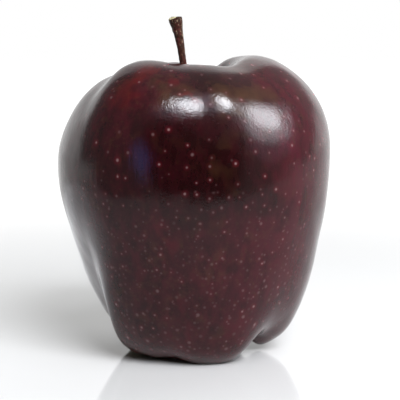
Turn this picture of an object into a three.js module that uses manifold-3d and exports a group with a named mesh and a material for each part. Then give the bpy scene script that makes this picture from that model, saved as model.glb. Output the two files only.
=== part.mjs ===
// A dessert apple standing upright on its lobes: the fruit, its woody stem and the dried calyx
// underneath. Millimetres, +Z up, origin on the surface that the apple stands on, under its middle.
import * as THREE from 'three';
import { mergeVertices } from 'three/addons/utils/BufferGeometryUtils.js';
import Module from 'manifold-3d';

// ---------------------------------------------------------------- driving dimensions, mm and degrees

const GAP = 0.3;                    // clearance between touching pieces

// The ridge of a lobe as [radius, height], from the floor of the stem cavity over the shoulder and
// down the cheek to the foot, then up to the roof of the basin underneath.
const RIDGE = [
  [0, 70.2], [2.6, 70.8], [6.2, 75.0], [10.2, 81.0], [14.2, 85.2], [18.8, 86.8], [24.8, 85.4],
  [31.2, 80.4], [36.4, 72.6], [39.4, 64.0], [40.2, 55.5], [39.5, 46.0], [37.0, 34.5], [34.2, 23.0],
  [30.0, 12.0], [25.4, 4.0], [20.8, 0.3], [18.5, -0.4], [16.4, 0.5], [12.6, 3.8], [9.0, 8.2],
  [4.8, 11.4], [0, 12.2],
];
const STEPS_PER_SPAN = 2;           // rows of faces between two points of the ridge
const FACES_ROUND = 84;             // columns of faces round the apple

// Where the main places lie along the ridge, as a share of its length from the cavity floor.
const RIM = 0.20;
const SHOULDER = 0.33;
const CHEEK = 0.56;
const SHANK = 0.78;
const FOOT = 0.845;

// Azimuth 0 looks out of the front and grows towards +X. Everything on the skin runs down from its
// azimuth at the rim to its azimuth at the foot, and bows sideways on the way by some degrees.
// A lobe is lifted at the rim and at the foot, and swollen at the shoulder, the cheek and the shank,
// and spread is how wide it is in degrees.
const LOBES = [
  { at: [-28, -48], lift: [0.4, 2.0], swell: [0, 0, 1.6], spread: 34 },             // front left
  { at: [20, 10], lift: [-0.8, 0], swell: [0, 0, 0.3], spread: 34 },                // front right
  { at: [100, 96], lift: [1.1, 2.5], swell: [2.8, 0.4, 0.8], spread: 42 },          // right
  { at: [-160, -188], lift: [0, 0], swell: [0, 0, 0], spread: 34 },                 // back
  { at: [-112, -122], lift: [-4.8, -1.1], swell: [-2.5, -1.8, -1.6], spread: 36 },  // left
];

// Five grooves between the lobes: how deep each one cuts at the rim, down the side and at the foot,
// and its widths in degrees at the rim and at the foot, towards smaller azimuths (before) and
// towards greater ones (after).
const GROOVES = [
  { at: [-6, -20], bow: 0, depth: [0.5, 0, 1.2], before: [16, 13], after: [16, 13] },
  { at: [42, 54], bow: 0, depth: [1.2, 1.0, 4.6], before: [20, 17], after: [20, 17] },
  { at: [158, 130], bow: 0, depth: [3.2, 1.4, 4.5], before: [16, 17], after: [26, 17] },
  { at: [-138, -154], bow: 0, depth: [1.2, 1.4, 4.5], before: [16, 17], after: [16, 17] },
  { at: [-66, -74], bow: 12, depth: [2.8, 3.8, 1.6], before: [20, 23], after: [14, 7] },
];

// How far along the ridge each of these effects reaches.
const RIM_REACH = 0.15;
const FOOT_GROOVE_REACH = 0.09;
const FOOT_LIFT_REACH = 0.12;
const SHOULDER_REACH = 0.10;
const CHEEK_REACH = 0.14;
const SHANK_REACH = 0.10;
const SIDE_GROOVE = [0.45, 0.78, 0.88, 1.0];  // starts, full, still full, gone
const POLES_STILL = [0.06, 0.95];             // the two poles keep the plain ridge
// The outward direction is square to a stretch of the ridge that runs this share of its length
// both ways, so that a deep groove does not fold the skin over where it turns under the foot.
const OUTWARD_STRETCH = 0.05;

const LEAN = -0.04;                 // how far the fruit leans towards +X for each mm of height
const LEAN_FROM = 45;

// The stem: its middle line as [x, y, z], from its root in the cavity floor to the broken end, and
// its width at each share of its length.
const STEM_LINE = [
  [-0.8, 0.0, 65.0], [-1.4, 0.0, 71.0], [-2.4, -0.1, 79.0], [-3.4, -0.2, 86.2], [-4.3, -0.3, 92.2],
  [-5.8, -0.4, 99.5],
];
const STEM_WIDTHS = [
  [0, 2.9], [0.18, 2.5], [0.5, 2.1], [0.70, 2.1], [0.80, 2.5], [0.89, 3.1], [0.96, 4.0], [1, 4.1],
];
const STEM_FACES_ROUND = 22;
const STEM_STEPS = 32;
const BARK_RIDGES = 7;
const BARK_DEPTH = 0.07;
const BARK_TWIST = 5;               // how far the ridges wind round the stem, in radians
const CROWN_AT = [-5.8, -0.4, 99.4];  // the broken end is level here, and slants away on its left
const SCAR_SLANT = 24;              // how steeply it slants to the left, and to the front, in degrees
const SCAR_FRONT_SLANT = 12;
const SOCKET_STEPS = 6;
const SOCKET_TOP = 74;              // the hole for the root is open from here down

// The calyx: a button in the roof of the basin, with sepals and stamens hanging from it.
const CALYX_X = 0.8;                // the basin's axis, which leans off the middle
const BUTTON_RADIUS = 3.4;
const BUTTON_TOP = 14.4;
const BUTTON_FOOT = 11.2;
const BUTTON_FACES = 20;
const SEPALS = 5;
const SEPAL_FACES = 8;
const SEPAL_STEPS = 8;
const SEPAL_LINE = [[2.3, 12.0], [3.5, 9.6], [3.3, 7.0], [4.3, 5.0], [6.0, 4.4]];  // radius, height
const SEPAL_WIDTH = 3.9;
const SEPAL_TIP = 0.25;             // the tip's width as a share of the widest
const SEPAL_THICKNESS = 0.75;
const STAMENS = 9;
const STAMEN_FACES = 5;
const STAMEN_STEPS = 3;
const STAMEN_RADIUS = 0.36;
const STAMEN_LENGTH = 4.2;

const COLOURS = { skin: 0x4a0f16, bark: 0x4a2f24, husk: 0x5c4630 };

// ---------------------------------------------------------------- small helpers

const wasm = await Module();
wasm.setup();

const AXIS_X = new THREE.Vector3(1, 0, 0);
const AXIS_Z = new THREE.Vector3(0, 0, 1);
const GOLDEN_ANGLE = Math.PI * (3 - Math.sqrt(5));

const bell = (x) => Math.exp(-x * x);
const turn = (degrees) => THREE.MathUtils.euclideanModulo(degrees + 180, 360) - 180;
const { lerp, smoothstep, clamp, degToRad, radToDeg } = THREE.MathUtils;

// A closed solid from a closed three.js geometry whose seams may still be split.
function solidOf(geometry) {
  const bare = geometry.index ? geometry.toNonIndexed() : geometry.clone();
  bare.deleteAttribute('normal');
  bare.deleteAttribute('uv');
  const merged = mergeVertices(bare, 1e-4);
  const corners = merged.index.array;
  const faces = [];
  for (let i = 0; i < corners.length; i += 3) {
    const [a, b, c] = [corners[i], corners[i + 1], corners[i + 2]];
    if (a !== b && b !== c && c !== a) faces.push(a, b, c);
  }
  const mesh = new wasm.Mesh({
    numProp: 3,
    vertProperties: new Float32Array(merged.attributes.position.array),
    triVerts: new Uint32Array(faces),
  });
  return new wasm.Manifold(mesh);
}

function geometryOf(solid) {
  const { vertProperties, triVerts } = solid.getMesh();
  const geometry = new THREE.BufferGeometry();
  geometry.setAttribute('position', new THREE.BufferAttribute(vertProperties, 3));
  geometry.setIndex(new THREE.BufferAttribute(triVerts, 1));
  geometry.computeVertexNormals();
  return geometry;
}

function meshOf(name, solid, colour, roughness) {
  const material = new THREE.MeshStandardMaterial({ color: colour, roughness, metalness: 0 });
  const mesh = new THREE.Mesh(geometryOf(solid), material);
  mesh.name = name;
  return mesh;
}

// A closed rod along a curve: a unit cylinder whose vertices move to the curve. Its width lies as
// near as it can to the direction given, and halfSizes gives half its width and half its thickness
// at each share of its length and angle round it.
function rodAlong(curve, widthwise, facesRound, steps, halfSizes) {
  const rod = new THREE.CylinderGeometry(1, 1, 1, facesRound, steps);
  const places = rod.attributes.position;
  const corner = new THREE.Vector3();
  for (let i = 0; i < places.count; i++) {
    corner.fromBufferAttribute(places, i);
    const share = clamp(corner.y + 0.5, 0, 1);
    const along = curve.getTangentAt(share);
    const through = widthwise.clone().cross(along).normalize();
    const across = along.clone().cross(through);
    const [wide, thick] = halfSizes(share, Math.atan2(corner.z, corner.x));
    const place = curve.getPointAt(share)
      .addScaledVector(across, wide * corner.x)
      .addScaledVector(through, thick * corner.z);
    places.setXYZ(i, place.x, place.y, place.z);
  }
  return rod;
}

// A value read off a list of [share, value], eased from one to the next.
function eased(list, share) {
  let k = 1;
  while (k < list.length - 1 && list[k][0] < share) k++;
  const [from, low] = list[k - 1];
  const [to, high] = list[k];
  return lerp(low, high, smoothstep(share, from, to));
}

// ---------------------------------------------------------------- the fruit

const ridge = new THREE.CatmullRomCurve3(
  RIDGE.map(([radius, height]) => new THREE.Vector3(radius, height, 0)), false, 'centripetal');

// The ridge's rows, each with its place along the ridge and the outward direction across it.
function ridgeRows() {
  const spans = (RIDGE.length - 1) * STEPS_PER_SPAN;
  ridge.arcLengthDivisions = spans * 8;
  const lengths = ridge.getLengths();
  const rows = [];
  for (let k = 0; k <= spans; k++) {
    const point = ridge.getPoint(k / spans);
    const share = lengths[k * 8] / lengths[lengths.length - 1];
    const before = ridge.getPointAt(Math.max(share - OUTWARD_STRETCH, 0));
    const along = ridge.getPointAt(Math.min(share + OUTWARD_STRETCH, 1)).sub(before).normalize();
    rows.push({
      radius: k === 0 || k === spans ? 0 : point.x,
      height: point.y,
      share,
      outR: -along.y,
      outZ: along.x,
    });
  }
  return rows;
}

// How far a groove cuts in at one place.
function grooveDepth({ at, bow, depth, before, after }, share, azimuth) {
  const down = clamp((share - RIM) / (FOOT - RIM), 0, 1);
  const middle = lerp(at[0], at[1], down) + bow * 4 * down * (1 - down);
  const across = turn(azimuth - middle);
  const [wideAtRim, wideAtFoot] = across < 0 ? before : after;
  const [starts, full, stillFull, gone] = SIDE_GROOVE;
  const cut = depth[0] * bell((share - RIM) / RIM_REACH)
    + depth[1] * smoothstep(share, starts, full) * (1 - smoothstep(share, stillFull, gone))
    + depth[2] * bell((share - FOOT) / FOOT_GROOVE_REACH);
  return cut * bell(across / lerp(wideAtRim, wideAtFoot, down));
}

// How much a lobe lifts the skin upwards and swells it outwards at one place.
function lobeShape({ at, lift, swell, spread }, share, azimuth) {
  const down = clamp((share - RIM) / (FOOT - RIM), 0, 1);
  const near = bell(turn(azimuth - lerp(at[0], at[1], down)) / spread);
  const up = lift[0] * bell((share - RIM) / RIM_REACH)
    + lift[1] * bell((share - FOOT) / FOOT_LIFT_REACH);
  const out = swell[0] * bell((share - SHOULDER) / SHOULDER_REACH)
    + swell[1] * bell((share - CHEEK) / CHEEK_REACH)
    + swell[2] * bell((share - SHANK) / SHANK_REACH);
  return { up: up * near, out: out * near };
}

// One point of the skin, from its row of the ridge and its azimuth in degrees.
function skinPoint(row, azimuth) {
  let up = 0;
  let out = 0;
  for (const groove of GROOVES) out -= grooveDepth(groove, row.share, azimuth);
  for (const lobe of LOBES) {
    const shape = lobeShape(lobe, row.share, azimuth);
    up += shape.up;
    out += shape.out;
  }
  const [topStill, footStill] = POLES_STILL;
  const free = smoothstep(row.share, 0, topStill) * (1 - smoothstep(row.share, footStill, 1));
  const radius = row.radius + row.outR * out * free;
  const height = row.height + (row.outZ * out + up) * free;
  const angle = degToRad(azimuth);
  return new THREE.Vector3(
    radius * Math.sin(angle) + LEAN * (height - LEAN_FROM),
    -radius * Math.cos(angle),
    Math.max(height, 0));
}

// A lathe of the ridge turned upright, with every vertex then moved to its place on the skin.
function fruitSkin() {
  const rows = ridgeRows().reverse();
  const outline = rows.map((row) => new THREE.Vector2(row.radius, row.height));
  const lathe = new THREE.LatheGeometry(outline, FACES_ROUND);
  const places = lathe.attributes.position;
  for (let column = 0; column <= FACES_ROUND; column++) {
    for (let k = 0; k < rows.length; k++) {
      const azimuth = turn(360 * (column % FACES_ROUND) / FACES_ROUND);
      const point = skinPoint(rows[k], azimuth);
      places.setXYZ(column * rows.length + k, point.x, point.y, point.z);
    }
  }
  lathe.computeBoundingBox();
  const middle = lathe.boundingBox.getCenter(new THREE.Vector3());
  return lathe.translate(-middle.x, -middle.y, 0);
}

// ---------------------------------------------------------------- the stem

const stemLine = new THREE.CatmullRomCurve3(STEM_LINE.map((p) => new THREE.Vector3(...p)));

// The stalk's bark has shallow ridges that wind a little round it.
function stemRod() {
  return rodAlong(stemLine, AXIS_X, STEM_FACES_ROUND, STEM_STEPS, (share, angle) => {
    const bark = BARK_DEPTH * Math.sin(angle * BARK_RIDGES + share * BARK_TWIST);
    const half = eased(STEM_WIDTHS, share) / 2 + bark;
    return [half, half];
  });
}

// A slab that trims the broken end: its underside passes through the crown at these slants.
function endCutter(leftSlant, frontSlant) {
  const slab = new THREE.BoxGeometry(12, 12, 6).translate(0, 0, 3);
  slab.rotateX(degToRad(frontSlant)).rotateY(degToRad(-leftSlant));
  return slab.translate(...CROWN_AT);
}

// The hole that the root stands in: a plain round hole along the stem's line, from just under the
// root up into the open cavity.
function socketCutter() {
  const root = new THREE.Vector3(...STEM_LINE[0]);
  const down = stemLine.getTangentAt(0).multiplyScalar(-GAP);
  const top = stemLine.getPoints(60).find((point) => point.z >= SOCKET_TOP);
  const line = new THREE.CatmullRomCurve3([root.add(down), new THREE.Vector3(...STEM_LINE[1]), top]);
  const half = STEM_WIDTHS[0][1] / 2 + BARK_DEPTH + GAP;
  return rodAlong(line, AXIS_X, STEM_FACES_ROUND, SOCKET_STEPS, () => [half, half]);
}

// ---------------------------------------------------------------- the calyx

// A cylinder standing on +Z at the foot's axis, from one height to another.
function upright(radius, from, to, faces) {
  const middle = (from + to) / 2;
  return new THREE.CylinderGeometry(radius, radius, to - from, faces)
    .rotateX(Math.PI / 2).translate(CALYX_X, 0, middle);
}

// One dried sepal: a thin blade that hangs from the button and curls out at its tip.
function sepal(angle) {
  const outward = new THREE.Vector3(Math.sin(angle), -Math.cos(angle), 0);
  const sideways = new THREE.Vector3(Math.cos(angle), Math.sin(angle), 0);
  const line = new THREE.CatmullRomCurve3(SEPAL_LINE.map(([radius, height]) =>
    outward.clone().multiplyScalar(radius).add(new THREE.Vector3(CALYX_X, 0, height))));
  return rodAlong(line, sideways, SEPAL_FACES, SEPAL_STEPS, (share) => {
    const taper = 1 - (1 - SEPAL_TIP) * share * share;
    return [SEPAL_WIDTH / 2 * taper, SEPAL_THICKNESS / 2];
  });
}

// One dried stamen: a short bristle that leaves the button near its middle.
function stamen(index) {
  const angle = index * GOLDEN_ANGLE;
  const spread = 1.9 * Math.sqrt((index + 0.5) / STAMENS);
  const start = new THREE.Vector3(CALYX_X, 0, BUTTON_FOOT + 0.5);
  const outward = new THREE.Vector3(Math.sin(angle), -Math.cos(angle), 0);
  const line = new THREE.CatmullRomCurve3([
    start.clone().addScaledVector(outward, spread * 0.7),
    start.clone().addScaledVector(outward, spread).addScaledVector(AXIS_Z, -STAMEN_LENGTH / 2),
    start.clone().addScaledVector(outward, spread * 0.8).addScaledVector(AXIS_Z, -STAMEN_LENGTH),
  ]);
  const sideways = new THREE.Vector3(Math.cos(angle), Math.sin(angle), 0);
  return rodAlong(line, sideways, STAMEN_FACES, STAMEN_STEPS, () => [STAMEN_RADIUS, STAMEN_RADIUS]);
}

function calyxSolid() {
  let calyx = solidOf(upright(BUTTON_RADIUS, BUTTON_FOOT, BUTTON_TOP, BUTTON_FACES));
  for (let k = 0; k < SEPALS; k++) calyx = calyx.add(solidOf(sepal(k * 2 * Math.PI / SEPALS)));
  for (let k = 0; k < STAMENS; k++) calyx = calyx.add(solidOf(stamen(k)));
  return calyx;
}

// ---------------------------------------------------------------- the whole apple

const seat = upright(BUTTON_RADIUS + GAP, BUTTON_FOOT - GAP, BUTTON_TOP + GAP, BUTTON_FACES);
const fruit = solidOf(fruitSkin()).subtract(solidOf(socketCutter())).subtract(solidOf(seat));
const stalk = solidOf(stemRod())
  .subtract(solidOf(endCutter(0, 0)))
  .subtract(solidOf(endCutter(SCAR_SLANT, SCAR_FRONT_SLANT)));

const apple = new THREE.Group();
apple.add(meshOf('apple', fruit, COLOURS.skin, 0.25));
apple.add(meshOf('stem', stalk, COLOURS.bark, 0.75));
apple.add(meshOf('calyx', calyxSolid(), COLOURS.husk, 0.85));

export default apple;
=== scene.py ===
"""A dark red dessert apple standing on a pale floor: the waxed fruit, its woody stem and the dried
calyx underneath. Run as a script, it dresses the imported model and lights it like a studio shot."""
import math
import random
from collections import namedtuple

import bpy
import numpy as np
from bpy.props import FloatProperty, FloatVectorProperty, IntProperty, PointerProperty
from mathutils import Matrix, Vector


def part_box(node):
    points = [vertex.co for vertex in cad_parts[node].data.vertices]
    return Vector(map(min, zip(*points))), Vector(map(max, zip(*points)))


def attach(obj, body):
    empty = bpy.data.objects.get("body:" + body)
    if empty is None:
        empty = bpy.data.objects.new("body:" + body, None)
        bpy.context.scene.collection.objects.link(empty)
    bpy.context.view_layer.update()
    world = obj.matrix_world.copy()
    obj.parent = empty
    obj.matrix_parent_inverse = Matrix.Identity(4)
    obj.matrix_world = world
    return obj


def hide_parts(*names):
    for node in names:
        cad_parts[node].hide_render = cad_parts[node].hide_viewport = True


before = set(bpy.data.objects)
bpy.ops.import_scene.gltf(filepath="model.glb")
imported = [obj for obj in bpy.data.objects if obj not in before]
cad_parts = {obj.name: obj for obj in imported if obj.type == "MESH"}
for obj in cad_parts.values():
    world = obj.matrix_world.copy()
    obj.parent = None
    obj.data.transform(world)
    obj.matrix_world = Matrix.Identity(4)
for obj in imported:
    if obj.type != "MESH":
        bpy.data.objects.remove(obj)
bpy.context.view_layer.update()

bl_info = {
    "name": "Dessert apple",
    "version": (1, 0, 0),
    "blender": (4, 5, 0),
    "location": "View3D > Sidebar > Apple",
    "description": "Grows a waxed red apple with its stem and calyx, and sets it in a pale studio",
    "category": "Object",
}

MM = 0.001
BODY = "root"

# ------------------------------------------------------------------ the shape of the fruit, mm

# The ridge of a lobe as (radius, height): from the floor of the stem cavity over the shoulder and
# down the cheek to the foot, then up to the roof of the basin underneath.
RIDGE = [
    (0, 70.2), (2.6, 70.8), (6.2, 75.0), (10.2, 81.0), (14.2, 85.2), (18.8, 86.8), (24.8, 85.4),
    (31.2, 80.4), (36.4, 72.6), (39.4, 64.0), (40.2, 55.5), (39.5, 46.0), (37.0, 34.5),
    (34.2, 23.0), (30.0, 12.0), (25.4, 4.0), (20.8, 0.3), (18.5, -0.4), (16.4, 0.5), (12.6, 3.8),
    (9.0, 8.2), (4.8, 11.4), (0, 12.2),
]
RIDGE_STEPS = 2000
# Places along the ridge: where each lies, as a share of its length from the cavity floor, and how
# far along it what happens there reaches.
RIM, SHOULDER, CHEEK, SHANK = (0.20, 0.15), (0.33, 0.10), (0.56, 0.14), (0.78, 0.10)
FOOT, FOOT_GROOVE = (0.845, 0.12), (0.845, 0.09)
SIDE_DEEPENS, SIDE_ENDS = (0.45, 0.78), (0.88, 1.0)     # where a groove of the side does so
POLES_STILL = (0.06, 0.95)              # the two poles keep the plain ridge
# The outward direction is square to a stretch of the ridge that runs this share of its length
# both ways, so that a deep groove does not fold the skin over where it turns under the foot.
OUTWARD_STRETCH = 0.05

# Azimuth 0 looks out of the front and grows towards +X. Everything on the skin runs down from its
# azimuth at the rim to its azimuth at the foot, and bows sideways on the way by some degrees.
# A lobe is lifted at the rim and at the foot, and swollen at the shoulder, the cheek and the
# shank; the fifth lobe, behind, keeps the plain ridge. A groove has its depth at the rim, the side
# and the foot, and two widths, in degrees: towards smaller and towards greater azimuths, each at
# the rim and at the foot.
Lobe = namedtuple("Lobe", "at lift swell spread")
Groove = namedtuple("Groove", "at bow depth before after")
LOBES = [
    Lobe((-28, -48), (0.4, 2.0), (0, 0, 1.6), 34),
    Lobe((20, 10), (-0.8, 0), (0, 0, 0.3), 34),
    Lobe((100, 96), (1.1, 2.5), (2.8, 0.4, 0.8), 42),
    Lobe((-112, -122), (-4.8, -1.1), (-2.5, -1.8, -1.6), 36),
]
GROOVES = [
    Groove((-6, -20), 0, (0.5, 0, 1.2), (16, 13), (16, 13)),
    Groove((42, 54), 0, (1.2, 1.0, 4.6), (20, 17), (20, 17)),
    Groove((158, 130), 0, (3.2, 1.4, 4.5), (16, 17), (26, 17)),
    Groove((-138, -154), 0, (1.2, 1.4, 4.5), (16, 17), (16, 17)),
    Groove((-66, -74), 12, (2.8, 3.8, 1.6), (20, 23), (14, 7)),
]
LEAN, LEAN_FROM = -0.04, 45             # towards +X for each mm of height, and where it is none

# The stem's middle line from the cavity floor to the broken end, and widths at shares of its length.
STEM_LINE = [
    (-0.8, 0.0, 65.0), (-1.4, 0.0, 71.0), (-2.4, -0.1, 79.0), (-3.4, -0.2, 86.2),
    (-4.3, -0.3, 92.2), (-5.8, -0.4, 99.5),
]
STEM_WIDTHS = [
    (0, 2.9), (0.18, 2.5), (0.5, 2.1), (0.70, 2.1), (0.80, 2.5), (0.89, 3.1), (0.96, 4.0), (1, 4.1),
]
CROWN = (-5.8, -0.4, 99.4)              # the broken end is level here, and slants off on its left
CROWN_SLANT, CROWN_FRONT_SLANT = 24, 12

# The calyx hangs from a button in the roof of the basin. Each of a stamen's steps is how far down
# and how wide it is; a sepal's line is its distance from the core and its height.
CALYX_X = 0.8
BUTTON_RADIUS, BUTTON_TOP, BUTTON_FOOT = 3.4, 14.4, 11.2
BUTTON_ROUNDING, BUTTON_BUMPS = 0.9, (0.4, 1.2)     # the bumps' height and size
STAMEN_STEPS = [(0, 0.40), (1.8, 0.28), (3.4, 0.26), (3.8, 0.50), (4.2, 0.56), (4.5, 0.30)]
STAMEN_SPREAD, STAMEN_SUNK = 2.1, 0.4
STAMEN_LENGTHS, STAMEN_TILT = (0.72, 1.15), 0.3     # least and greatest length; radians
GOLDEN_ANGLE = math.pi * (3 - math.sqrt(5))
SEPALS = 5
SEPAL_LINE = [(2.3, 12.0), (3.5, 9.6), (3.3, 7.0), (4.3, 5.0), (6.0, 4.4)]
SEPAL_TAPER, SEPAL_TIP = 2.2, 0.004                 # how late it narrows, and how blunt it ends
SEPAL_CUP, SEPAL_CRINKLE = 0.7, 0.18                # how deep it is cupped and crinkled
SEPAL_WAVES = (21, 3)                               # the crinkles' waves along it and across it
SEPAL_CURL, SEPAL_TURN = 0.14, 6                    # how sepals differ: a share, and degrees


# ------------------------------------------------------------------ what the user can change

def colour(name, description, default):
    """A colour property with linear red, green and blue."""
    return FloatVectorProperty(name=name, description=description, default=default, size=3,
                               subtype="COLOR", min=0, max=1)


def length(name, description, default):
    """A property in metres."""
    return FloatProperty(name=name, description=description, default=default, unit="LENGTH")


def fraction(name, description, default):
    """A property between 0 and 1."""
    return FloatProperty(name=name, description=description, default=default, min=0, max=1,
                         subtype="FACTOR")


def number_of(name, description, default, least):
    """A property that counts faces or pieces."""
    return IntProperty(name=name, description=description, default=default, min=least)


class FruitProperties(bpy.types.PropertyGroup):
    """How finely the fruit is modelled, and how uneven its skin is."""
    columns: number_of("Columns", "Faces round the fruit", 256, 24)
    rows: number_of("Rows", "Faces from the cavity to the basin", 192, 24)
    unevenness: length("Unevenness", "Height of the skin's broad waves", 0.00022)
    wave: length("Wave length", "Size of the skin's broad waves", 0.009)


class SkinProperties(bpy.types.PropertyGroup):
    """The colours and the gloss of the waxed skin."""
    dark: colour("Dark", "Darkest burgundy of the skin", (0.0080, 0.0014, 0.0015))
    burgundy: colour("Burgundy", "Most of the skin", (0.022, 0.0022, 0.0044))
    crimson: colour("Crimson", "Redder blotches", (0.040, 0.0040, 0.0072))
    rose: colour("Rose", "Pinker red of the right cheek", (0.046, 0.0030, 0.0085))
    blush: colour("Blush", "Bright red of the shoulder's blush", (0.080, 0.0040, 0.0045))
    red: colour("Red", "Clear red of a few small patches", (0.062, 0.0030, 0.0080))
    olive: colour("Olive", "Greenish brown of the thin patches", (0.046, 0.020, 0.0085))
    halo: colour("Halo", "Red round the larger dots", (0.110, 0.008, 0.014))
    lenticel: colour("Lenticel", "Pale dots of the skin", (0.40, 0.29, 0.30))
    # The cavity colour is partly real russet and partly painted shade: it is darkened for the
    # hollows.
    cavity: colour("Cavity", "Brown green of the cavity and the basin", (0.024, 0.013, 0.006))
    gloss: fraction("Gloss roughness", "Roughness of the polished wax", 0.13)
    haze: fraction("Haze", "How strong the soft haze round a highlight is", 0.06)
    haze_roughness: fraction("Haze roughness", "How wide the haze spreads", 0.4)
    wax_index: FloatProperty(name="Index", description="Refractive index of the wax", default=1.31,
                             min=1, max=2)


class StemProperties(bpy.types.PropertyGroup):
    """The woody stem."""
    sides: number_of("Sides", "Faces round the stem", 40, 8)
    steps: number_of("Steps", "Faces along the stem", 110, 8)
    bark_depth: length("Bark depth", "Height of the bark's ridges", 0.00022)
    bark_ridge: length("Bark ridges", "Size of the bark's ridges", 0.0011)
    bark: colour("Bark", "Dark brown of the bark", (0.034, 0.015, 0.009))
    red_bark: colour("Red bark", "Red brown of the bark near the fruit", (0.080, 0.017, 0.015))
    crack: colour("Crack", "Nearly black spots and cracks", (0.012, 0.006, 0.004))
    fleck: colour("Fleck", "Grey tan flecks", (0.30, 0.22, 0.15))
    scar: colour("Scar", "Pale broken end", (0.55, 0.50, 0.30))


class CalyxProperties(bpy.types.PropertyGroup):
    """The dried sepals and stamens."""
    sepal_width: length("Sepal width", "Widest part of a sepal", 0.0039)
    sepal_thickness: length("Sepal thickness", "Thickness of a sepal", 0.0004)
    stamens: number_of("Stamens", "Dried stamens in the tuft", 18, 1)
    husk: colour("Husk", "Dry grey brown of the sepals", (0.13, 0.085, 0.045))
    husk_dark: colour("Dark husk", "Dark brown of the sepals' tips", (0.030, 0.017, 0.010))


class StageProperties(bpy.types.PropertyGroup):
    """The floor, the lamps and the camera."""
    camera_distance: length("Camera distance", "In front of the fruit", 0.400)
    camera_height: length("Camera height", "Above the floor", 0.095)
    camera_side: length("Camera side", "To the right of the fruit", 0.00163)
    camera_pitch: FloatProperty(name="Camera pitch", description="How far it looks down",
                                default=math.radians(7.1), subtype="ANGLE")
    focal_pixels: FloatProperty(name="Focal length", description="In pixels of a 400 pixel frame",
                                default=1349.0)
    floor: colour("Floor", "Colour of the glossy floor", (0.88, 0.895, 0.925))
    backdrop: colour("Backdrop", "Colour of the pale backdrop", (1.0, 1.0, 1.0))
    room: colour("Room", "Dark room in front, as the gloss mirrors it", (0.030, 0.026, 0.030))
    fill: colour("Fill", "Soft light from all round", (0.056, 0.054, 0.036))


# ------------------------------------------------------------------ small tools

def deselect_all():
    """Leaves nothing selected, so that the next operator acts on its own piece alone."""
    if bpy.context.mode != "OBJECT":
        bpy.ops.object.mode_set(mode="OBJECT")
    bpy.ops.object.select_all(action="DESELECT")


def make_active(piece):
    """Selects one piece alone."""
    deselect_all()
    piece.select_set(True)
    bpy.context.view_layer.objects.active = piece


def settle(piece):
    """Puts a piece's place into its mesh, so that its object sits unturned at the origin."""
    make_active(piece)
    bpy.ops.object.transform_apply(location=True, rotation=True, scale=True)


def apply_modifier(piece, kind, **settings):
    """Adds one modifier to a piece and applies it."""
    make_active(piece)
    modifier = piece.modifiers.new(kind.title(), kind)
    for name, value in settings.items():
        setattr(modifier, name, value)
    bpy.ops.object.modifier_apply(modifier=modifier.name)


def uneven(piece, strength, size):
    """Roughens a piece's surface with soft cloudy bumps of one size."""
    clouds = bpy.data.textures.new(piece.name + " clouds", "CLOUDS")
    clouds.noise_scale = size
    clouds.noise_depth = 1
    apply_modifier(piece, "DISPLACE", texture=clouds, strength=strength, mid_level=0.5,
                   texture_coords="LOCAL")


def places_of(mesh):
    """The places of a mesh's vertices as an array."""
    places = np.empty(len(mesh.vertices) * 3)
    mesh.vertices.foreach_get("co", places)
    return places.reshape(-1, 3)


def set_places(mesh, places):
    """Moves a mesh's vertices."""
    mesh.vertices.foreach_set("co", np.asarray(places, np.float32).ravel())
    mesh.update()


def smooth(values, low, high):
    """0 at low, 1 at high, eased in between."""
    t = np.clip((values - low) / (high - low), 0, 1)
    return t * t * (3 - 2 * t)


def bell(values):
    """1 in the middle, falling away on both sides."""
    return np.exp(-np.square(values))


def turn(degrees):
    """The same angle between -180 and 180 degrees."""
    return (degrees + 180) % 360 - 180


def between(ends, share):
    """A value part of the way from the first end to the second."""
    return ends[0] + (ends[1] - ends[0]) * share


def curve_through(points, count):
    """Evenly spaced points on a smooth curve through points: centripetal Catmull-Rom."""
    p = np.array(points, float)
    p = np.vstack([2 * p[0] - p[1], p, 2 * p[-1] - p[-2]])
    fine = []
    for a, b, c, d in zip(p, p[1:], p[2:], p[3:]):
        ab, bc, cd = (math.sqrt(np.linalg.norm(v)) for v in (b - a, c - b, d - c))
        leave = ((b - a) / ab - (c - a) / (ab + bc) + (c - b) / bc) * bc
        arrive = ((c - b) / bc - (d - b) / (bc + cd) + (d - c) / cd) * bc
        for t in np.linspace(0, 1, 60, endpoint=False):
            fine.append(b + leave * t + (3 * (c - b) - 2 * leave - arrive) * t**2
                        + (2 * (b - c) + leave + arrive) * t**3)
    fine = np.array(fine + [p[-2]])
    lengths = np.r_[0, np.cumsum(np.linalg.norm(np.diff(fine, axis=0), axis=1))]
    shares = np.linspace(0, lengths[-1], count)
    return np.stack([np.interp(shares, lengths, axis) for axis in fine.T], axis=1)


def eased(pairs, share):
    """A value read off (share, value) pairs, eased from one to the next."""
    for (low, before), (high, after) in zip(pairs, pairs[1:]):
        if share <= high:
            return before + (after - before) * float(smooth(share, low, high))
    return pairs[-1][1]


def dress(piece, material, replaced=None, edges=None):
    """Smooths a finished piece, apart from edges sharper than so many degrees if given, gives it
    its material and its body, and hides the imported part that it replaces if one is given."""
    make_active(piece)
    if edges:
        bpy.ops.object.shade_smooth_by_angle(angle=math.radians(edges))
    else:
        bpy.ops.object.shade_smooth()
    piece.data.materials.clear()
    piece.data.materials.append(material)
    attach(piece, BODY)
    if replaced:
        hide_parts(replaced)


# ------------------------------------------------------------------ material tools

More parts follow.
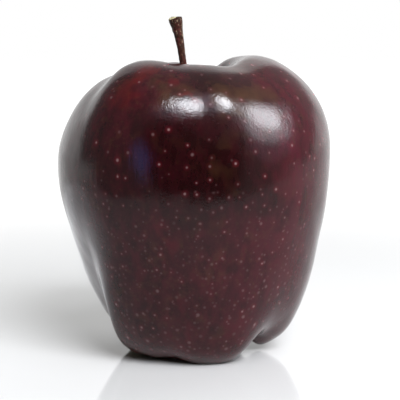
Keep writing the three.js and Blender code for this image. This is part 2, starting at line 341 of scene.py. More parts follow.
class Nodes:
    """Adds and links the nodes of one material, world or group."""

    def __init__(self, tree):
        self.tree = tree

    def add(self, kind, inputs=None, **settings):
        """A shader node with its settings and its inputs: numbers, colours or other outputs."""
        node = self.tree.nodes.new("ShaderNode" + kind)
        for name, value in settings.items():
            setattr(node, name, value)
        self.fill(node, inputs or {})
        return node

    def fill(self, node, inputs):
        """Sets or links a node's inputs."""
        for name, value in inputs.items():
            if isinstance(value, bpy.types.NodeSocket):
                self.tree.links.new(value, node.inputs[name])
            else:
                node.inputs[name].default_value = value

    def math(self, operation, first, second=0.0, third=0.0):
        """The output of a Math node."""
        inputs = {0: first, 1: second, 2: third}
        return self.add("Math", inputs, operation=operation).outputs[0]

    def times(self, first, *others):
        """Numbers multiplied with each other."""
        for other in others:
            first = self.math("MULTIPLY", first, other)
        return first

    def vector(self, operation, first, second=(0, 0, 0)):
        """The result of a Vector Math node: a vector, or a number where it gives only that."""
        node = self.add("VectorMath", {0: first, 1: second}, operation=operation)
        return node.outputs["Value" if operation in ("DOT_PRODUCT", "LENGTH", "DISTANCE") else 0]

    def scaled(self, vector, scale):
        """A vector times a number."""
        inputs = {0: vector, "Scale": scale}
        return self.add("VectorMath", inputs, operation="SCALE").outputs[0]

    def parts(self, vector):
        """The X, Y and Z of a vector."""
        return self.add("SeparateXYZ", {0: vector}).outputs

    def between(self, value, low, high, to_low=0.0, to_high=1.0):
        """A value mapped smoothly from one range to another."""
        node = self.add("MapRange", {"Value": value, "From Min": low, "From Max": high,
                                     "To Min": to_low, "To Max": to_high},
                        interpolation_type="SMOOTHSTEP")
        return node.outputs[0]

    def noise(self, place, scale, detail=2.0, roughness=0.5):
        """The value of a noise texture."""
        node = self.add("TexNoise", {"Vector": place, "Scale": scale, "Detail": detail,
                                     "Roughness": roughness})
        return node.outputs["Fac"]

    def grey(self, value):
        """A grey of a varying brightness."""
        node = self.add("CombineColor", {0: value, 1: value, 2: value})
        return node.outputs[0]

    def mask(self, place, size, low, high):
        """Soft blotches from the shared group."""
        node = self.add("Group", node_tree=group("mottle"))
        self.fill(node, {"Place": place, "Size": size, "From": low, "To": high})
        return node.outputs["Mask"]

    def relief(self, place, size, fine, strength, depth, under=None):
        """The normal of a rough relief from the shared group, over another one's if given."""
        node = self.add("Group", node_tree=group("grain"))
        self.fill(node, {"Place": place, "Size": size, "Fine": fine})
        inputs = {"Height": node.outputs["Height"], "Strength": strength, "Distance": depth}
        if under is not None:
            inputs["Normal"] = under
        return self.add("Bump", inputs).outputs[0]

    def mix(self, share, first, second):
        """Two colours mixed."""
        node = self.add("Mix", {"Factor": share}, data_type="RGBA")
        for socket, value in ((node.inputs[6], first), (node.inputs[7], second)):
            if isinstance(value, bpy.types.NodeSocket):
                self.tree.links.new(value, socket)
            else:
                socket.default_value = (*value, 1)
        return node.outputs[2]


FINER = 3.1                                     # how much smaller a relief's finer bumps are
BALL_CENTRE, BALL_RADIUS = (0, 0, 46), 42.0     # the ball that lenticels are spread over, mm
CELL_TO_SPACING = 0.775                         # cell size that gives dots one spacing apart
SEAT_REACH = 0.3                                # how far off the ball a seat may be, in cells
DOT_RADIUS, DOT_STRENGTH = (0.30, 0.35), (0.75, 0.25)   # what chance adds at most, and the least
DOT_EDGE, HALO_EDGE = (1.6, 0.2), (4.2, 0.8)    # from none to all of it, in radii from the middle


def new_group(name, place, numbers, outputs):
    """A node group that takes a place and some numbers and gives numbers: its nodes, its inputs'
    sockets by name, and its node for the outputs."""
    tree = bpy.data.node_groups.new(name, "ShaderNodeTree")
    for socket in (place, *numbers):
        kind = "NodeSocketVector" if socket == place else "NodeSocketFloat"
        tree.interface.new_socket(name=socket, in_out="INPUT", socket_type=kind)
    for socket in outputs:
        tree.interface.new_socket(name=socket, in_out="OUTPUT", socket_type="NodeSocketFloat")
    inside, outside = (tree.nodes.new("NodeGroup" + way) for way in ("Input", "Output"))
    return Nodes(tree), inside.outputs, outside


def group(name):
    """A shared node group by its name, built the first time that a material asks for it."""
    return bpy.data.node_groups.get(name) or GROUPS[name]()


def mottle_group():
    """Soft blotches of one size: 0 between them and 1 on them."""
    nodes, ends, out = new_group("mottle", "Place", ("Size", "From", "To"), ("Mask",))
    scale = nodes.math("DIVIDE", 1.0, ends["Size"])
    cloud = nodes.noise(ends["Place"], scale, detail=3.0, roughness=0.55)
    nodes.fill(out, {"Mask": nodes.between(cloud, ends["From"], ends["To"])})
    return nodes.tree


def grain_group():
    """A rough relief: bumps of one size with finer ones on them."""
    nodes, ends, out = new_group("grain", "Place", ("Size", "Fine"), ("Height",))
    scale = nodes.math("DIVIDE", 1.0, ends["Size"])
    coarse = nodes.noise(ends["Place"], scale)
    fine = nodes.noise(ends["Place"], nodes.times(scale, FINER))
    nodes.fill(out, {"Height": nodes.math("MULTIPLY_ADD", fine, ends["Fine"], coarse)})
    return nodes.tree


def lenticel_group():
    """Scattered dots that are round on the skin: their mask, their halos and how strong each is.
    Of a cell pattern's seats, those near a ball round the fruit count, each drawn out along the
    ball's radius."""
    nodes, ends, out = new_group("lenticels", "Around", ("Spacing", "Size", "Share"),
                                 ("Dot", "Halo", "Strength"))
    cell = nodes.times(ends["Spacing"], CELL_TO_SPACING)
    ball = nodes.math("DIVIDE", BALL_RADIUS, cell)
    place = nodes.scaled(ends["Around"], ball)
    cells = nodes.add("TexVoronoi", {"Vector": place, "Scale": 1.0, "Randomness": 0.85})
    seat = cells.outputs["Position"]
    off_ball = nodes.math("ABSOLUTE", nodes.math("SUBTRACT", nodes.vector("LENGTH", seat), ball))
    drawn_out = nodes.scaled(nodes.vector("NORMALIZE", seat), ball)
    away = nodes.times(nodes.vector("DISTANCE", place, drawn_out), cell)
    draw = nodes.add("SeparateColor", {0: cells.outputs["Color"]}).outputs
    counts = nodes.times(nodes.math("LESS_THAN", off_ball, SEAT_REACH),
                         nodes.math("LESS_THAN", draw["Red"], ends["Share"]))
    radius = nodes.times(ends["Size"], nodes.math("MULTIPLY_ADD", draw["Green"], *DOT_RADIUS))
    strong = nodes.times(draw["Blue"], draw["Blue"])
    ratio = nodes.math("DIVIDE", away, radius)
    nodes.fill(out, {
        "Dot": nodes.times(nodes.between(ratio, *DOT_EDGE), counts),
        "Halo": nodes.times(nodes.between(ratio, *HALO_EDGE), counts),
        "Strength": nodes.math("MULTIPLY_ADD", strong, *DOT_STRENGTH),
    })
    return nodes.tree


GROUPS = {"mottle": mottle_group, "grain": grain_group, "lenticels": lenticel_group}


def new_material(name):
    """A material with its nodes, its shader and where a point lies on the object, in mm."""
    material = bpy.data.materials.new(name)
    material.use_nodes = True
    nodes = Nodes(material.node_tree)
    shader = material.node_tree.nodes["Principled BSDF"]
    place = nodes.scaled(nodes.add("TexCoord").outputs["Object"], 1 / MM)
    return material, nodes, shader, place


def emptied(thing):
    """The nodes of a material or a world, with nothing in them yet."""
    thing.use_nodes = True
    thing.node_tree.nodes.clear()
    return Nodes(thing.node_tree)


# ------------------------------------------------------------------ the fruit

def ridge_at(shares):
    """The ridge's radius and height in mm, and its outward direction, at shares of its length."""
    line = curve_through(RIDGE, RIDGE_STEPS + 1)
    index = np.arange(len(line))
    stretch = round(OUTWARD_STRETCH * RIDGE_STEPS)
    ahead, behind = np.minimum(index + stretch, RIDGE_STEPS), np.maximum(index - stretch, 0)
    along = line[ahead] - line[behind]
    along /= np.linalg.norm(along, axis=1, keepdims=True)
    steps = np.linspace(0, 1, len(line))
    radius, height, along_r, along_z = (
        np.interp(shares, steps, column) for column in (*line.T, *along.T))
    return radius, height, -along_z, along_r


def skin_places(shares, azimuths):
    """Places on the skin in mm, at shares of the ridge and azimuths in degrees."""

    def along(places, amounts):
        """The sum of amounts that hold at their place on the ridge and fade away from it."""
        return sum(amount * bell((shares - at) / reach)
                   for (at, reach), amount in zip(places, amounts))

    radius, height, out_r, out_z = ridge_at(shares)
    down = np.clip((shares - RIM[0]) / (FOOT[0] - RIM[0]), 0, 1)
    side = smooth(shares, *SIDE_DEEPENS) * (1 - smooth(shares, *SIDE_ENDS))
    out = np.zeros_like(shares)
    up = np.zeros_like(shares)
    for groove in GROOVES:
        bow = groove.bow * 4 * down * (1 - down)
        across = turn(azimuths - (between(groove.at, down) + bow))
        width = np.where(across < 0, between(groove.before, down), between(groove.after, down))
        rim, flank, foot = groove.depth
        cut = along((RIM, FOOT_GROOVE), (rim, foot)) + flank * side
        out -= cut * bell(across / width)
    for lobe in LOBES:
        close = bell(turn(azimuths - between(lobe.at, down)) / lobe.spread)
        up += along((RIM, FOOT), lobe.lift) * close
        out += along((SHOULDER, CHEEK, SHANK), lobe.swell) * close
    free = smooth(shares, 0, POLES_STILL[0]) * (1 - smooth(shares, POLES_STILL[1], 1))
    radius = radius + out_r * out * free
    height = height + (out_z * out + up) * free
    angle = np.radians(azimuths)
    return np.stack([radius * np.sin(angle) + LEAN * (height - LEAN_FROM),
                     -radius * np.cos(angle), np.maximum(height, 0)], axis=1)


def grow_fruit(shape, skin):
    """A sphere whose every vertex is moved to its place on the lobed skin."""
    deselect_all()
    bpy.ops.mesh.primitive_uv_sphere_add(segments=shape.columns, ring_count=shape.rows, radius=1)
    fruit = bpy.context.object
    fruit.name = "fruit"
    ball = places_of(fruit.data)
    shares = np.arccos(np.clip(ball[:, 2], -1, 1)) / math.pi
    azimuths = np.degrees(np.arctan2(ball[:, 0], -ball[:, 1]))
    places = skin_places(shares, azimuths) * MM
    off_centre = (places.min(0) + places.max(0)) / 2 - np.mean(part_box("apple"), axis=0)
    places[:, :2] -= off_centre[:2]
    set_places(fruit.data, places)
    uneven(fruit, shape.unevenness, shape.wave)
    places = places_of(fruit.data)
    places[:, 2] = np.maximum(places[:, 2], 0)
    set_places(fruit.data, places)
    dress(fruit, skin_material(skin), "apple")


# The skin's mottle in layers, from the bottom up: colour, whether its blotches run lengthways, the
# pattern's shift and size in mm, the noise where blotches start and are full, and their strength.
MOTTLE = [
    ("dark", False, (0, 0, 0), 11.0, 0.44, 0.66, 0.30),
    ("red", True, (9, 23, 0), 4.6, 0.50, 0.66, 0.30),
    ("crimson", True, (0, 0, 0), 2.2, 0.46, 0.62, 0.50),
    ("dark", True, (31, 7, 0), 3.0, 0.46, 0.67, 0.50),
    ("olive", False, (5, 51, 0), 3.4, 0.54, 0.68, 0.25),
    ("olive", False, (3, 17, 0), 1.1, 0.54, 0.70, 0.28),
    ("crimson", False, (0, 0, 0), 0.6, 0.50, 0.68, 0.30),
]
LENGTHWAYS = (1, 1, 0.42)       # how a pattern is squeezed, so that its blotches are drawn out
SKIN_STREAKS = (1, 1, 0.12)     # the same for the streaks of the skin's relief
POLISH = (0.8, 0.4)             # the least gloss roughness, and how much blotches add to it
# Patches over the mottle: each one's middle and reach in mm, and its strength.
PATCHES = {
    "dark": [((3, -40, 58), 25, 1.0), ((-18, -36, 55), 14, 0.6), ((19, -36, 55), 15, 0.7),
             ((8, -32, 79), 17, 0.8), ((-12, -38, 69), 9, 0.6), ((-27, -27, 60), 9, 0.5)],
    "blush": [((-12, -28, 84), 5.5, 0.9), ((-15, -28, 83), 8, 0.6), ((-20, -29, 78), 9, 0.5),
              ((-2, -34, 78), 2.5, 0.7)],
    "red": [((-10, -35, 17), 4, 0.7), ((-4, -34, 9), 5, 0.6), ((16, -30, 12), 10, 0.5),
            ((27, -25, 30), 11, 0.5), ((26, -30, 55), 10, 0.35), ((-8, -38, 40), 5, 0.4)],
    "olive": [((12, -33, 79), 9, 0.8), ((20, -28, 81), 8, 0.7), ((6, -40, 57), 7, 0.30),
              ((9, -39, 66), 5, 0.3), ((-6, -32, 80), 7, 0.5), ((9, -12, 86), 14, 0.5)],
}
PATCH_FULL = 0.25               # a patch is full within this share of its reach
PATCH_WANDER = 18.0             # mm; how far its outline strays
PATCH_WANDER_SCALE = 0.16       # waves of that for each mm
PATCH_BROKEN = 0.35             # the share of it that is broken up
ROSE_CHEEK = (-2, 32)           # the cheek turns from burgundy to rose between these X, in mm
CRIMSON_FOOT = (18, 3, 0.0, 0.6)    # and to crimson between these heights, from and to this much
# The cavity and the basin: how far from the core and how high they fade out and are full, in mm.
CAVITY_RADII, CAVITY_HEIGHTS = (12, 5), (85.5, 80)
# How strongly the hollows take their russet, darkened partly as painted shade, and their roughness.
CAVITY_COVER, CAVITY_ROUGHNESS = 0.9, 0.5
# The pale dots in layers: spacing and size in mm, the share of seats taken above and below, and the
# strength of the halos and of the dots.
DOTS = [
    (4.8, 0.60, 0.71, 0.55, 0.38, 0.38),
    (3.6, 0.70, 0.10, 0.90, 0.12, 0.16),
    (2.4, 0.60, 0.0, 0.60, 0.05, 0.10),
]
DOTS_CHANGE = (66, 22)          # heights in mm between which the one share gives way to the other
DOTS_TURN = 1.7                 # radians by which each layer's seats are turned from the last's


def in_cavity(nodes, place):
    """1 down in the stem's cavity and in the basin underneath, fading towards their rims."""
    from_core = nodes.vector("LENGTH", nodes.vector("MULTIPLY", place, (1, 1, 0)))
    return nodes.times(nodes.between(from_core, *CAVITY_RADII),
                       nodes.between(nodes.parts(place)["Z"], *CAVITY_HEIGHTS))


def skin_colours(nodes, skin, place):
    """Burgundy, rose on the right cheek, mottled in layers and patched, and in the hollows russet
    brown, darkened partly as painted shade.
    """
    parts = nodes.parts(place)
    drawn = nodes.vector("MULTIPLY", place, LENGTHWAYS)
    colours = nodes.mix(nodes.between(parts["X"], *ROSE_CHEEK), skin.burgundy, skin.rose)
    colours = nodes.mix(nodes.between(parts["Z"], *CRIMSON_FOOT), colours, skin.crimson)
    for name, lengthways, shift, size, low, high, strength in MOTTLE:
        where = nodes.vector("ADD", drawn if lengthways else place, shift)
        blotches = nodes.times(nodes.mask(where, size, low, high), strength)
        colours = nodes.mix(blotches, colours, getattr(skin, name))
    broken = nodes.mask(nodes.vector("ADD", drawn, (0, 17, 0)), size=3.0, low=0.30, high=0.60)
    wander = nodes.add("TexNoise", {"Vector": place, "Scale": PATCH_WANDER_SCALE, "Detail": 3.0})
    pushed = nodes.vector("SUBTRACT", wander.outputs["Color"], (0.5, 0.5, 0.5))
    strayed = nodes.vector("ADD", place, nodes.scaled(pushed, PATCH_WANDER))
    for name, patches in PATCHES.items():
        for centre, reach, strength in patches:
            weight = nodes.math("MULTIPLY_ADD", broken, PATCH_BROKEN * strength,
                                (1 - PATCH_BROKEN) * strength)
            distance = nodes.vector("DISTANCE", strayed, centre)
            patch = nodes.times(nodes.between(distance, reach, reach * PATCH_FULL), weight)
            colours = nodes.mix(patch, colours, getattr(skin, name))
    # The hollows take russet brown, darkened partly as painted shade.
    return nodes.mix(nodes.times(in_cavity(nodes, place), CAVITY_COVER), colours, skin.cavity)


def dot_skin(nodes, skin, place, colours):
    """Pale lenticels: large ones far apart above, small ones close together below."""
    around = nodes.vector("NORMALIZE", nodes.vector("SUBTRACT", place, BALL_CENTRE))
    height = nodes.parts(place)["Z"]
    for k, (spacing, size, above, below, halo, dot) in enumerate(DOTS):
        turned = nodes.add("VectorRotate", {"Vector": around, "Angle": DOTS_TURN * k})
        layer = nodes.add("Group", node_tree=group("lenticels"))
        nodes.fill(layer, {"Around": turned.outputs[0], "Spacing": spacing, "Size": size,
                           "Share": nodes.between(height, *DOTS_CHANGE, above, below)})
        for shape, strength, tint in (("Halo", halo, skin.halo), ("Dot", dot, skin.lenticel)):
            amount = nodes.times(layer.outputs["Strength"], strength, layer.outputs[shape])
            colours = nodes.mix(amount, colours, tint)
    return colours


def skin_material(skin):
    """Waxed apple skin: mottled burgundy with pale lenticels under a slightly uneven gloss."""
    material, nodes, shader, place = new_material("waxed skin")
    streaks = nodes.relief(nodes.vector("MULTIPLY", place, SKIN_STREAKS), size=1.1, fine=0.4,
                           strength=0.30, depth=0.0001)
    least, varies = (skin.gloss * share for share in POLISH)
    polish = nodes.math("MULTIPLY_ADD", nodes.mask(place, size=3.0, low=0.3, high=0.7), varies,
                        least)
    dull = nodes.times(in_cavity(nodes, place), CAVITY_ROUGHNESS)
    nodes.fill(shader, {
        "Base Color": dot_skin(nodes, skin, place, skin_colours(nodes, skin, place)),
        "Normal": nodes.relief(place, size=0.6, fine=0.3, strength=0.30, depth=0.0001,
                               under=streaks),
        "Roughness": nodes.math("MAXIMUM", polish, dull),
        "IOR": skin.wax_index,
        "Coat Weight": skin.haze,
        "Coat Roughness": skin.haze_roughness,
        "Coat IOR": skin.wax_index,
    })
    return material


# ------------------------------------------------------------------ the stem

# How the bark changes between two heights in mm: redder below, more cracks and flecks above. The
# other two numbers are how strong those are at each height.
RED_BARK, CRACKS, FLECKS = (92, 82), (84, 93, 0.45, 0.75), (84, 96, 0.12, 0.75)
RED_BLOTCHES = 0.7                                  # how strong the red blotches higher up are
BARK_DRAWN, FLECKS_DRAWN = (1, 1, 0.45), (1, 1, 0.7)    # how the bark's patterns are squeezed
# The pale wood shows at the top, on faces that look up, and most on those that also look left.
WOOD_HEIGHT, WOOD_FACING, WOOD_LEFT = (97.8, 98.3), (0.70, 0.88), (-0.1, -0.3, 0.35, 1)


def draw_out(name, sides, line, widths):
    """A rod: a disc drawn out step by step along a line, as wide as it is at each point of it."""
    deselect_all()
    bpy.ops.mesh.primitive_circle_add(vertices=sides, radius=widths[0] / 2, fill_type="NGON",
                                      location=line[0])
    rod = bpy.context.object
    rod.name = name
    settle(rod)
    bpy.ops.object.mode_set(mode="EDIT")
    bpy.ops.mesh.select_all(action="SELECT")
    for before, after, narrow, wide in zip(line, line[1:], widths, widths[1:]):
        bpy.ops.mesh.extrude_region_move(TRANSFORM_OT_translate={"value": tuple(after - before)})
        grow = wide / narrow
        bpy.ops.transform.resize(value=(grow, grow, 1), center_override=tuple(after))
    bpy.ops.mesh.select_all(action="SELECT")
    bpy.ops.mesh.normals_make_consistent(inside=False)
    bpy.ops.object.mode_set(mode="OBJECT")
    return rod


def grow_stem(stem):
    """A rod along the stem's line, roughened and broken off."""
    line = curve_through(STEM_LINE, stem.steps + 1) * MM
    widths = [eased(STEM_WIDTHS, k / stem.steps) * MM for k in range(stem.steps + 1)]
    stalk = draw_out("stalk", stem.sides, line, widths)
    uneven(stalk, stem.bark_depth, stem.bark_ridge)
    break_end(stalk)
    dress(stalk, bark_material(stem), "stem", edges=35)


def break_end(stalk):
    """Cuts the stem's end off level, and slantwise on its left."""
    slanted = (Matrix.Rotation(math.radians(-CROWN_SLANT), 3, "Y")
               @ Matrix.Rotation(math.radians(CROWN_FRONT_SLANT), 3, "X")) @ Vector((0, 0, 1))
    make_active(stalk)
    bpy.ops.object.mode_set(mode="EDIT")
    for across in (Vector((0, 0, 1)), slanted):
        bpy.ops.mesh.select_all(action="SELECT")
        bpy.ops.mesh.bisect(plane_co=tuple(Vector(CROWN) * MM), plane_no=tuple(across),
                            use_fill=True, clear_outer=True)
    bpy.ops.object.mode_set(mode="OBJECT")


def bark_material(stem):
    """Thin woody bark: dark brown, redder near the fruit, flecked, with a pale broken end."""
    material, nodes, shader, place = new_material("bark")
    height = nodes.parts(place)["Z"]
    drawn = nodes.vector("MULTIPLY", place, BARK_DRAWN)
    blotches = nodes.mask(nodes.vector("ADD", drawn, (2, 9, 0)), size=1.1, low=0.42, high=0.60)
    redder = nodes.math("MAXIMUM", nodes.between(height, *RED_BARK),
                        nodes.times(blotches, RED_BLOTCHES))
    colours = nodes.mix(redder, stem.bark, stem.red_bark)
    cracks = nodes.mask(nodes.vector("ADD", drawn, (5, 3, 0)), size=0.55, low=0.48, high=0.60)
    cracks = nodes.times(cracks, nodes.between(height, *CRACKS))
    colours = nodes.mix(cracks, colours, stem.crack)
    flecks = nodes.mask(nodes.vector("MULTIPLY", place, FLECKS_DRAWN), size=0.75, low=0.58,
                        high=0.66)
    flecks = nodes.times(flecks, nodes.between(height, *FLECKS))
    colours = nodes.mix(flecks, colours, stem.fleck)
    facing = nodes.parts(nodes.add("NewGeometry").outputs["True Normal"])
    end = nodes.times(nodes.between(facing["Z"], *WOOD_FACING),
                      nodes.between(height, *WOOD_HEIGHT),
                      nodes.between(facing["X"], *WOOD_LEFT))
    nodes.fill(shader, {
        "Base Color": nodes.mix(end, colours, stem.scar),
        "Normal": nodes.relief(drawn, size=0.45, fine=0.5, strength=0.8, depth=0.0002),
        "Roughness": 0.62,
        "IOR": 1.25,
    })
    return material


# ------------------------------------------------------------------ the calyx

def grow_button(material):
    """The low dome that the sepals and stamens hang from."""
    deselect_all()
    depth = (BUTTON_TOP - BUTTON_FOOT) * MM
    bpy.ops.mesh.primitive_cylinder_add(
        vertices=32, radius=BUTTON_RADIUS * MM, depth=depth,
        location=(CALYX_X * MM, 0, BUTTON_FOOT * MM + depth / 2))
    button = bpy.context.object
    button.name = "calyx_button"
    apply_modifier(button, "BEVEL", width=BUTTON_ROUNDING * MM, segments=3)
    apply_modifier(button, "SUBSURF", levels=2, render_levels=2, subdivision_type="SIMPLE")
    settle(button)
    uneven(button, BUTTON_BUMPS[0] * MM, BUTTON_BUMPS[1] * MM)
    dress(button, material, "calyx")


def sepal_mesh(calyx):
    """One sepal at azimuth 0: a grid laid along the sepal's line, tapered, cupped and crinkled."""
    deselect_all()
    bpy.ops.mesh.primitive_grid_add(x_subdivisions=8, y_subdivisions=18, size=2)
    sepal = bpy.context.object
    grid = places_of(sepal.data)
    across, share = grid[:, 0], (grid[:, 1] + 1) / 2
    line = curve_through(SEPAL_LINE, 101) * MM
    steps = np.linspace(0, 1, len(line))
    radius, height = (np.interp(share, steps, column) for column in line.T)
    taper = np.sqrt(np.clip(1 - share**SEPAL_TAPER, SEPAL_TIP, 1))
    side = across * taper * calyx.sepal_width / 2
    cup = SEPAL_CUP * MM * across**2 * taper
    crinkle = SEPAL_CRINKLE * MM * np.sin(share * SEPAL_WAVES[0] + across * SEPAL_WAVES[1])
    set_places(sepal.data, np.stack([side, -(radius - cup + crinkle), height], axis=1))
    apply_modifier(sepal, "SOLIDIFY", thickness=calyx.sepal_thickness, offset=0)
    apply_modifier(sepal, "SUBSURF", levels=1, render_levels=1)
    return sepal


def copies_of(first, count, name):
    """Numbered copies of a piece, each with its own mesh, and at last the piece itself."""
    for k in range(count):
        piece = first
        if k < count - 1:
            piece = first.copy()
            piece.data = first.data.copy()
            bpy.context.collection.objects.link(piece)
        piece.name = f"{name}_{k + 1}"
        yield k, piece


def grow_sepals(calyx, material):
    """Sepals round the button, each a little different."""
    first = sepal_mesh(calyx)
    rest = places_of(first.data)
    draw = random.Random(5)
    for k, sepal in copies_of(first, SEPALS, "sepal"):
        curl = 1 + draw.uniform(-SEPAL_CURL, SEPAL_CURL)
        places = rest.copy()
        button = SEPAL_LINE[0][0] * MM
        places[:, 1] = -button + (places[:, 1] + button) * curl
        azimuth = 360 * k / SEPALS + draw.uniform(-SEPAL_TURN, SEPAL_TURN)
        places = places @ np.array(Matrix.Rotation(math.radians(azimuth), 3, "Z")).T
        places[:, 0] += CALYX_X * MM
        set_places(sepal.data, places)
        dress(sepal, material)


def grow_stamens(calyx, material):
    """Threads with a knob, spread over the button, each with its own length and tilt."""
    line = np.array([(0, 0, -below) for below, _ in STAMEN_STEPS]) * MM
    first = draw_out("stamen", 8, line, [width * MM for _, width in STAMEN_STEPS])
    draw = random.Random(8)
    for k, stamen in copies_of(first, calyx.stamens, "stamen"):
        reach = STAMEN_SPREAD * math.sqrt((k + 0.5) / calyx.stamens)
        angle = k * GOLDEN_ANGLE
        seat = Vector((CALYX_X + reach * math.cos(angle), reach * math.sin(angle),
                       BUTTON_FOOT + STAMEN_SUNK)) * MM
        lengthened = Matrix.Diagonal((1, 1, draw.uniform(*STAMEN_LENGTHS), 1))
        tilt = draw.uniform(0, STAMEN_TILT)
        tilted = Matrix.Rotation(angle, 4, "Z") @ Matrix.Rotation(-tilt, 4, "Y")
        stamen.data.transform(Matrix.Translation(seat) @ tilted @ lengthened)
        dress(stamen, material, edges=50)


def husk_material(calyx):
    """Dry, papery grey brown that darkens in blotches."""
    material, nodes, shader, place = new_material("husk")
    nodes.fill(shader, {
        "Base Color": nodes.mix(nodes.mask(place, size=1.1, low=0.40, high=0.66), calyx.husk,
                                calyx.husk_dark),
        "Normal": nodes.relief(place, size=0.35, fine=0.5, strength=0.7, depth=0.0002),
        "Roughness": 0.85,
    })
    return material


# ------------------------------------------------------------------ the stage

IMAGE_WIDTH = 400               # pixels
FLOOR_REACH = 4.0               # metres from the fruit to the floor's far edges
FLOOR_FADES = (150, 450)        # mm from the fruit between which the floor turns white
FAR_FLOOR_GLOW = 1.2            # how bright that white is
FLOOR_CLOUDS, FLOOR_DARKER = 0.01, 0.985    # waves of its faint clouds for each mm; their darkest
FLOOR_ROUGHNESS = 0.045
# The near edge of the board that the gloss mirrors, from left to right, in metres.
BOARD_EDGE = [(-0.213, -0.050), (-0.109, -0.177), (-0.040, -0.205)]
# Lamps: azimuth and elevation of the middle, angular width and height, all in degrees, and power.
LAMPS = {
    "lamp_key": (27, 35, 38, 30, 13.6),
    "lamp_top": (32, 55, 44, 32, 3.5),
    "lamp_back": (150, 50, 60, 40, 3.4),
}
LAMP_DISTANCE, AIM_HEIGHT = 1.0, 0.06   # metres, from the point over the floor that they aim at
CARD_FULL = 0.275               # how far from its middle a card is at its brightest, in its widths
COOL, LILAC, BLUE = (0.92, 0.95, 1.0), (0.80, 0.80, 1.0), (0.18, 0.30, 1.0)
# Cards that only the gloss mirrors: the same places and sizes, how bright, and their colour.
CARDS = {
    "card_front": (-2, 61, 21, 14, 54.0, COOL),
    "card_front_glow": (22, 63, 74, 20, 2.6, LILAC),
    "card_middle": (58, 58.5, 14, 14, 64.0, COOL),
    "card_right": (83, 39.5, 26, 26, 19.5, COOL),
    "card_right_glow": (79, 36, 43, 42, 6.0, COOL),
    "card_right_haze": (74, 23, 58, 42, 0.8, LILAC),
    "card_left": (-39.5, 7, 17, 34, 2.2, BLUE),
}
# The card on the floor: where, its length and width in metres, its turn, how bright, its colour.
LOW_CARD = ((-0.150, 0.085, 0.002), 0.32, 0.26, -30, 0.75, COOL)
# What the gloss mirrors of the room. Behind the fruit hangs a pale backdrop that is wide low down
# and narrow above; the sides are grey, the right one paler; straight in front it is dark. Heights
# and sideways places are those of a direction one long; what changes between two of them may be
# followed by how bright it is at the first and at the second.
BACKDROP_HALF_WIDTHS = (2.1, 0.60)      # low down and above, for each unit of distance
BACKDROP_NARROWS = (0.05, 0.40)         # heights
BACKDROP_SHIFT = -0.25                  # its upper part hangs this far to the left of the middle
BACKDROP_EDGE = (-0.06, 0.06)           # its soft edge
BACKDROP_WINGS = (0.2, 0.55, 1.0, 1.5)  # brighter towards its sides
BACKDROP_ABOVE = (0.42, 0.60, 0.0, 0.3)     # and so much brighter still above
BACKDROP_FADES = (0.70, 0.92, 1.0, 0.5)     # but less and less overhead
GREY_SIDES = (-0.3, 0.6, 0.35, 0.57)    # from left to right
GREY_TOP, GREY_TOP_FROM = 0.55, (0.85, 0.98)    # overhead: how bright, and between which heights
DARK_FRONT = (4, 14)            # azimuth and elevation of the middle of the dark front
DARK_REACH = (33, 50)           # degrees from there: fully dark within, grey beyond


def towards(azimuth, elevation):
    """The direction at an azimuth and an elevation in degrees, azimuth 0 towards the front."""
    a, e = math.radians(azimuth), math.radians(elevation)
    return Vector((math.sin(a) * math.cos(e), -math.cos(a) * math.cos(e), math.sin(e)))


def put_in_scene(name, data):
    """A new object for a camera, a lamp or a mesh."""
    thing = bpy.data.objects.new(name, data)
    bpy.context.scene.collection.objects.link(thing)
    return thing


def set_camera(stage):
    """The camera stands in front, a little above the fruit, and looks slightly down."""
    data = bpy.data.cameras.new("camera")
    data.lens = stage.focal_pixels * data.sensor_width / IMAGE_WIDTH
    data.clip_start = 0.01
    camera = put_in_scene("camera", data)
    camera.location = (stage.camera_side, -stage.camera_distance, stage.camera_height)
    camera.rotation_euler = (math.pi / 2 - stage.camera_pitch, 0, 0)
    bpy.context.scene.camera = camera


def floor_material(stage):
    """Glossy pale board that fades into the white of the backdrop with distance."""
    material, nodes, shader, place = new_material("floor")
    tint = nodes.between(nodes.noise(place, FLOOR_CLOUDS), 0.2, 0.8)
    darker = [FLOOR_DARKER * part for part in stage.floor]
    nodes.fill(shader, {
        "Base Color": nodes.mix(tint, darker, stage.floor),
        "Roughness": FLOOR_ROUGHNESS,
        "IOR": 1.45,
    })
    ray = nodes.add("LightPath").outputs
    seen = nodes.math("MAXIMUM", ray["Is Camera Ray"], ray["Is Glossy Ray"])
    far = nodes.between(nodes.vector("LENGTH", place), *FLOOR_FADES)
    white = nodes.add("Emission", {"Color": (*stage.backdrop, 1), "Strength": FAR_FLOOR_GLOW})
    blend = nodes.add("MixShader", {0: nodes.times(seen, far), 1: shader.outputs[0],
                                    2: white.outputs[0]})
    nodes.fill(material.node_tree.nodes["Material Output"], {"Surface": blend.outputs[0]})
    return material


def lay_floor(name, corners, material, mirrored):
    """One stretch of the floor. The stretch far in front isn't seen in the fruit's gloss."""
    mesh = bpy.data.meshes.new(name)
    mesh.from_pydata([(x, y, 0) for x, y in corners], [], [tuple(range(len(corners)))])
    mesh.materials.append(material)
    board = put_in_scene(name, mesh)
    board.visible_glossy = mirrored


def aim(thing, azimuth, elevation):
    """Puts a lamp or a card at its distance, facing the fruit."""
    direction = towards(azimuth, elevation)
    thing.location = direction * LAMP_DISTANCE + Vector((0, 0, AIM_HEIGHT))
    thing.rotation_mode = "QUATERNION"
    thing.rotation_quaternion = direction.to_track_quat("Z", "Y")


def span(degrees):
    """How wide something is that spans so many degrees at a lamp's distance."""
    return 2 * LAMP_DISTANCE * math.tan(math.radians(degrees) / 2)


